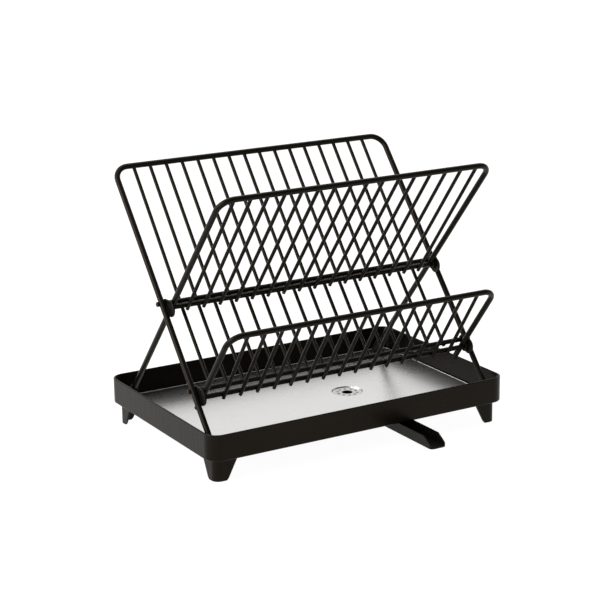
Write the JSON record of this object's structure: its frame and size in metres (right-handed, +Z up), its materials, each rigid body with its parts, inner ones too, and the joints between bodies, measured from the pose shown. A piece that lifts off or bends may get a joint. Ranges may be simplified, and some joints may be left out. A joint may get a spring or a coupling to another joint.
{
  "type": "folding dish drying rack with drip tray",
  "caption": "Folding wire dish rack with a plate tier and a lower front basket, standing in a footed drip tray with a steel floor plate and a swivelling drain spout.",
  "frame": {"origin": "middle of the whole object's footprint, on the worktop under the feet", "axes": "+X along the rack to its right, +Y to the back where the plates' tall side leans, +Z up"},
  "size_m": [0.4146, 0.3382, 0.3322],
  "materials": {
    "tray_coating": "satin black powder coat",
    "wire_coating": "satin black coated wire",
    "floor_steel": "glossy brushed stainless steel",
    "strainer_steel": "brushed stainless steel",
    "hardware_steel": "plain steel",
    "link_plastic": "matte black",
    "foot_plastic": "matte black",
    "spout_plastic": "matte black",
    "cap_rubber": "matte black"
  },
  "bodies": {
    "tray": {"tray_shell": "tray_coating", "drain_gasket": "cap_rubber", "drain_collar": "spout_plastic", "spout_clip": "hardware_steel", "foot_front_left": "foot_plastic", "foot_front_right": "foot_plastic", "foot_back_left": "foot_plastic", "foot_back_right": "foot_plastic", "foot_rivets": "hardware_steel"},
    "floor_plate": {"floor_plate": "floor_steel"},
    "strainer": {"strainer": "strainer_steel"},
    "spout": {"spout": "spout_plastic"},
    "back_frame": {"back_frame_hoop": "wire_coating", "back_frame_bars": "wire_coating", "back_frame_upper_rod": "wire_coating", "back_frame_lower_rod": "wire_coating", "back_frame_cap_left": "cap_rubber", "back_frame_cap_right": "cap_rubber"},
    "front_frame": {"front_frame_hoop": "wire_coating", "front_frame_bars": "wire_coating", "front_frame_rod": "wire_coating", "upper_link_left": "link_plastic", "upper_link_right": "link_plastic", "front_frame_cap_left": "cap_rubber", "front_frame_cap_right": "cap_rubber"},
    "basket": {"basket_hoop": "wire_coating", "basket_bars": "wire_coating", "basket_rod": "wire_coating", "lower_link_left": "link_plastic", "lower_link_right": "link_plastic"}
  },
  "joints": [
    {"name": "floor_plate_lift", "type": "slide", "parent": "tray", "child": "floor_plate", "axis": [0, 0, 1], "range_m": [0, 0.06]},
    {"name": "strainer_lift", "type": "slide", "parent": "floor_plate", "child": "strainer", "axis": [0, 0, 1], "range_m": [0, 0.03]},
    {"name": "spout_swing", "type": "hinge", "parent": "tray", "child": "spout", "pos_m": [0.0585, 0.0308, 0.019], "axis": [0, 0, 1], "range_deg": [-180, 35]},
    {"name": "rack_fold", "type": "hinge", "parent": "floor_plate", "child": "back_frame", "pos_m": [0, -0.08482, 0.0353], "axis": [1, 0, 0], "range_deg": [0, 36]},
    {"name": "front_frame_fold", "type": "hinge", "parent": "back_frame", "child": "front_frame", "pos_m": [0, 0.03981, 0.18124], "axis": [1, 0, 0], "range_deg": [-72, 0]},
    {"name": "basket_fold", "type": "hinge", "parent": "back_frame", "child": "basket", "pos_m": [0, -0.03438, 0.09344], "axis": [1, 0, 0], "range_deg": [-68.4, 0]}
  ],
  "couplings": [
    {"joint": "front_frame_fold", "follows": "rack_fold", "ratio": -2},
    {"joint": "basket_fold", "follows": "rack_fold", "ratio": -1.9}
  ]
}
